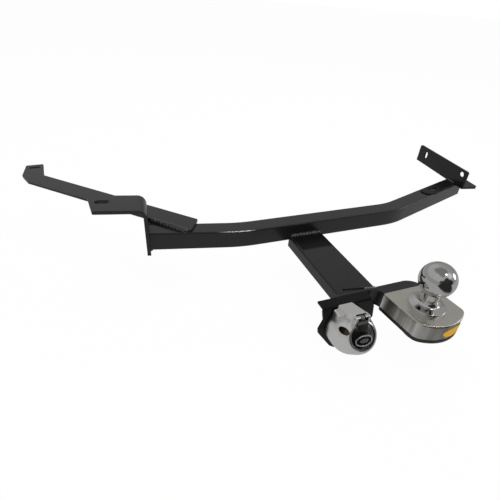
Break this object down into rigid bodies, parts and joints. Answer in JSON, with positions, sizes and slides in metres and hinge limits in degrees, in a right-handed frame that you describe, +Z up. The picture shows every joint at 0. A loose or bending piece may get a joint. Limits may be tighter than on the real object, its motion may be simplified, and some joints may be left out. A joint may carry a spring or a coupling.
{
  "type": "trailer hitch",
  "caption": "Fixed vehicle tow bar: bent cross beam, tongue, capped arm with a tow ball, mounting plates and a round trailer socket with a sprung lid.",
  "frame": {"origin": "centre of the tow ball", "axes": "+X to the right seen from behind the vehicle, +Y forward into the vehicle, +Z up along the ball's neck"},
  "size_m": [0.97, 0.6282, 0.163],
  "materials": {
    "black_paint": "semi-gloss paint",
    "stainless": "brushed",
    "chrome": "polished",
    "zinc": "zinc plated",
    "rubber": "matte",
    "black_plastic": "satin",
    "brass": "satin",
    "badge_yellow": "gloss"
  },
  "bodies": {
    "hitch": {"ball_arm": "black_paint", "cap_rim": "black_paint", "tongue_tube": "black_paint", "tongue_end_plate": "black_paint", "cross_beam": "black_paint", "left_bracket": "black_paint", "hook_bar": "black_paint", "left_gusset": "black_paint", "right_angle": "black_paint", "top_doubler": "black_paint", "socket_bracket": "black_paint", "weld_tongue": "black_paint", "weld_left_end": "black_paint", "weld_hook_bar": "black_paint", "weld_right_angle": "black_paint", "weld_arm": "black_paint", "weld_bracket": "black_paint", "steel_cap": "stainless", "tow_ball": "chrome", "socket_housing": "chrome", "ball_washer": "zinc", "ball_lock_washer": "zinc", "ball_nut": "zinc", "rim_screws": "zinc", "socket_screws": "zinc", "hinge_pin": "zinc", "lid_spring": "zinc", "socket_gasket": "rubber", "cable_boot": "rubber", "socket_insert": "black_plastic", "beam_end_plug": "black_plastic", "contact_tubes": "brass", "cap_badge": "badge_yellow"},
    "lid": {"socket_lid": "chrome", "lid_emblem": "chrome", "lid_seal": "rubber"}
  },
  "joints": [
    {"name": "lid_hinge", "type": "hinge", "parent": "hitch", "child": "lid", "pos_m": [-0.105, 0.007, -0.0482], "axis": [-1, 0, 0], "range_deg": [0, 100], "stiffness_Nm_per_rad": 0.02, "springref_deg": -68.75}
  ]
}
